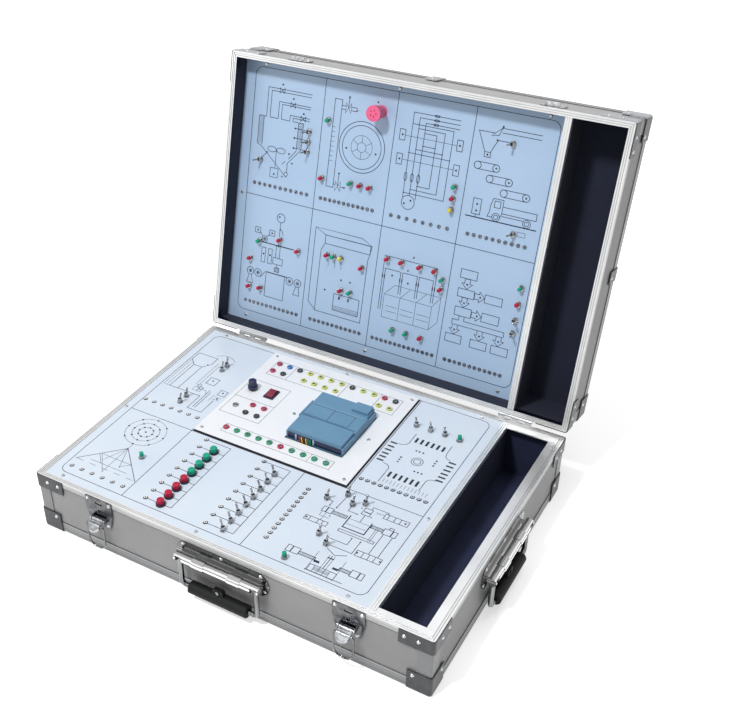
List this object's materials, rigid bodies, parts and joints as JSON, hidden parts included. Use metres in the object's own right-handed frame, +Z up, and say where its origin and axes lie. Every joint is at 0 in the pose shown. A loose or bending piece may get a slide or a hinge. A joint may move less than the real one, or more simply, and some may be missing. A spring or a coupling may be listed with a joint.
{
  "type": "programmable logic controller trainer",
  "caption": "Teaching kit in an open aluminium case: a compact controller, sockets, switches and process diagrams on panels in the base and lid, with latches and carrying handles.",
  "frame": {"origin": "centre of the bounding box's footprint, at the undersides of the corner guards", "axes": "+Z up, -Y towards the case's front where the latches are, +X towards the storage compartment"},
  "size_m": [0.6116, 0.6213, 0.5212],
  "materials": {
    "grey_board": "smooth satin laminate",
    "aluminium": "satin extruded",
    "dark_guard": "dark satin",
    "rivet_steel": "polished",
    "base_face": "printed satin",
    "lid_face": "printed satin",
    "module_face": "printed satin",
    "supports": "planed",
    "navy_cloth": "short pile",
    "plc_plastic": "moulded",
    "supply_case": "folded sheet",
    "circuit_green": "laminate",
    "jack_plastic": "moulded",
    "pin_metal": "turned",
    "switch_black": "moulded",
    "chrome_part": "polished",
    "leaf_steel": "brushed",
    "grip_rubber": "moulded",
    "red_cap": "moulded",
    "green_cap": "moulded",
    "sounder_pink": "moulded"
  },
  "bodies": {
    "case": {"base_panels": "grey_board", "base_rim": "aluminium", "base_edge_frame": "aluminium", "base_corner_guards": "dark_guard", "base_fasteners": "rivet_steel", "face_panel": "base_face", "panel_supports": "supports", "storage_lining": "navy_cloth", "storage_frame": "aluminium", "module_plate": "module_face", "plc_body": "plc_plastic", "power_supply": "supply_case", "circuit_board": "circuit_green", "jack_sockets": "jack_plastic", "pin_sockets": "pin_metal", "switch_bodies": "switch_black", "toggle_bodies": "chrome_part", "base_hinge_leaves": "leaf_steel", "latch_plates": "chrome_part", "handle_plates": "chrome_part"},
    "lid": {"lid_panels": "grey_board", "lid_rim": "aluminium", "lid_edge_frame": "aluminium", "lid_corner_guards": "dark_guard", "lid_fasteners": "rivet_steel", "lid_face_panel": "lid_face", "lid_lining": "navy_cloth", "lid_divider": "aluminium", "lid_circuit_board": "circuit_green", "lid_pin_sockets": "pin_metal", "lid_switch_bodies": "chrome_part", "alarm_sounder": "sounder_pink", "lid_hinge_leaves": "leaf_steel", "latch_keepers": "chrome_part"},
    "front_handle": {"front_bail": "chrome_part", "front_grip": "grip_rubber"},
    "side_handle": {"side_bail": "chrome_part", "side_grip": "grip_rubber"},
    "latch_lever_left": {"latch_lever_left": "chrome_part"},
    "latch_lever_right": {"latch_lever_right": "chrome_part"},
    "latch_loop_left": {"latch_loop_left": "chrome_part"},
    "latch_loop_right": {"latch_loop_right": "chrome_part"},
    "speed_knob": {"speed_knob": "switch_black"},
    "rocker": {"rocker": "red_cap"},
    "plc_front_cover": {"plc_front_cover": "plc_plastic"},
    "plc_rear_cover": {"plc_rear_cover": "plc_plastic"},
    "start_buttons": {"start_buttons": "green_cap"},
    "bank_toggle_levers": {"bank_toggle_levers": "chrome_part"},
    "rear_toggle_levers": {"rear_toggle_levers": "chrome_part"},
    "lid_push_buttons": {"lid_push_buttons": "red_cap"},
    "lid_toggle_levers": {"lid_toggle_levers": "chrome_part"},
    "lid_selector_levers": {"lid_selector_levers": "chrome_part"},
    "push_button_1": {"push_button_1": "green_cap"},
    "push_button_2": {"push_button_2": "green_cap"},
    "push_button_3": {"push_button_3": "green_cap"},
    "push_button_4": {"push_button_4": "green_cap"},
    "push_button_5": {"push_button_5": "red_cap"},
    "push_button_6": {"push_button_6": "red_cap"},
    "push_button_7": {"push_button_7": "red_cap"},
    "push_button_8": {"push_button_8": "red_cap"}
  },
  "joints": [
    {"name": "lid_hinge", "type": "hinge", "parent": "case", "child": "lid", "pos_m": [-0.00865, 0.13941, 0.099], "axis": [1, 0, 0], "range_deg": [0, 103]},
    {"name": "front_handle_swing", "type": "hinge", "parent": "case", "child": "front_handle", "pos_m": [-0.00265, -0.29809, 0.066], "axis": [-1, 0, 0], "range_deg": [0, 90]},
    {"name": "side_handle_swing", "type": "hinge", "parent": "case", "child": "side_handle", "pos_m": [0.29635, -0.08109, 0.066], "axis": [0, -1, 0], "range_deg": [0, 90]},
    {"name": "latch_lever_left_swing", "type": "hinge", "parent": "case", "child": "latch_lever_left", "pos_m": [-0.19665, -0.29359, 0.062], "axis": [-1, 0, 0], "range_deg": [-12, 68]},
    {"name": "latch_loop_left_swing", "type": "hinge", "parent": "latch_lever_left", "child": "latch_loop_left", "pos_m": [-0.19665, -0.30119, 0.05953], "axis": [1, 0, 0], "range_deg": [-170, 0]},
    {"name": "latch_lever_right_swing", "type": "hinge", "parent": "case", "child": "latch_lever_right", "pos_m": [0.17735, -0.29359, 0.062], "axis": [-1, 0, 0], "range_deg": [-12, 68]},
    {"name": "latch_loop_right_swing", "type": "hinge", "parent": "latch_lever_right", "child": "latch_loop_right", "pos_m": [0.17735, -0.30119, 0.05953], "axis": [1, 0, 0], "range_deg": [-170, 0]},
    {"name": "speed_knob_turn", "type": "hinge", "parent": "case", "child": "speed_knob", "pos_m": [-0.15065, 0.01691, 0.099], "axis": [0, 0, 1], "range_deg": [-150, 150]},
    {"name": "rocker_tilt", "type": "hinge", "parent": "case", "child": "rocker", "pos_m": [-0.11915, 0.01841, 0.096], "axis": [1, 0, 0], "range_deg": [-18, 0]},
    {"name": "plc_front_cover_swing", "type": "hinge", "parent": "case", "child": "plc_front_cover", "pos_m": [-0.00465, -0.01719, 0.1099], "axis": [1, 0, 0], "range_deg": [-75, 0]},
    {"name": "plc_rear_cover_swing", "type": "hinge", "parent": "case", "child": "plc_rear_cover", "pos_m": [-0.00465, 0.01701, 0.1099], "axis": [-1, 0, 0], "range_deg": [-75, 0]},
    {"name": "start_buttons_press", "type": "slide", "parent": "case", "child": "start_buttons", "axis": [0, 0, -1], "range_m": [0, 0.0015], "stiffness_N_per_m": 300, "springref_m": -0.002},
    {"name": "push_button_1_press", "type": "slide", "parent": "case", "child": "push_button_1", "axis": [0, 0, -1], "range_m": [0, 0.0025], "stiffness_N_per_m": 400, "springref_m": -0.003},
    {"name": "push_button_2_press", "type": "slide", "parent": "case", "child": "push_button_2", "axis": [0, 0, -1], "range_m": [0, 0.0025], "stiffness_N_per_m": 400, "springref_m": -0.003},
    {"name": "push_button_3_press", "type": "slide", "parent": "case", "child": "push_button_3", "axis": [0, 0, -1], "range_m": [0, 0.0025], "stiffness_N_per_m": 400, "springref_m": -0.003},
    {"name": "push_button_4_press", "type": "slide", "parent": "case", "child": "push_button_4", "axis": [0, 0, -1], "range_m": [0, 0.0025], "stiffness_N_per_m": 400, "springref_m": -0.003},
    {"name": "push_button_5_press", "type": "slide", "parent": "case", "child": "push_button_5", "axis": [0, 0, -1], "range_m": [0, 0.0025], "stiffness_N_per_m": 400, "springref_m": -0.003},
    {"name": "push_button_6_press", "type": "slide", "parent": "case", "child": "push_button_6", "axis": [0, 0, -1], "range_m": [0, 0.0025], "stiffness_N_per_m": 400, "springref_m": -0.003},
    {"name": "push_button_7_press", "type": "slide", "parent": "case", "child": "push_button_7", "axis": [0, 0, -1], "range_m": [0, 0.0025], "stiffness_N_per_m": 400, "springref_m": -0.003},
    {"name": "push_button_8_press", "type": "slide", "parent": "case", "child": "push_button_8", "axis": [0, 0, -1], "range_m": [0, 0.0025], "stiffness_N_per_m": 400, "springref_m": -0.003},
    {"name": "bank_toggles_flip", "type": "hinge", "parent": "case", "child": "bank_toggle_levers", "pos_m": [-0.02065, -0.19309, 0.098], "axis": [0, 1, 0], "range_deg": [0, 24]},
    {"name": "rear_toggles_flip", "type": "hinge", "parent": "case", "child": "rear_toggle_levers", "pos_m": [0.11885, 0.05841, 0.098], "axis": [-1, 0, 0], "range_deg": [0, 24]},
    {"name": "lid_toggles_flip", "type": "hinge", "parent": "lid", "child": "lid_toggle_levers", "pos_m": [-0.17965, 0.23137, 0.39952], "axis": [0, 0.225, 0.9744], "range_deg": [0, 24]},
    {"name": "lid_selectors_flip", "type": "hinge", "parent": "lid", "child": "lid_selector_levers", "pos_m": [0.17635, 0.18818, 0.21244], "axis": [0, -0.225, -0.9744], "range_deg": [0, 24]},
    {"name": "lid_buttons_press", "type": "slide", "parent": "lid", "child": "lid_push_buttons", "axis": [0, 0.9744, -0.225], "range_m": [0, 0.0015], "stiffness_N_per_m": 300, "springref_m": -0.002}
  ]
}
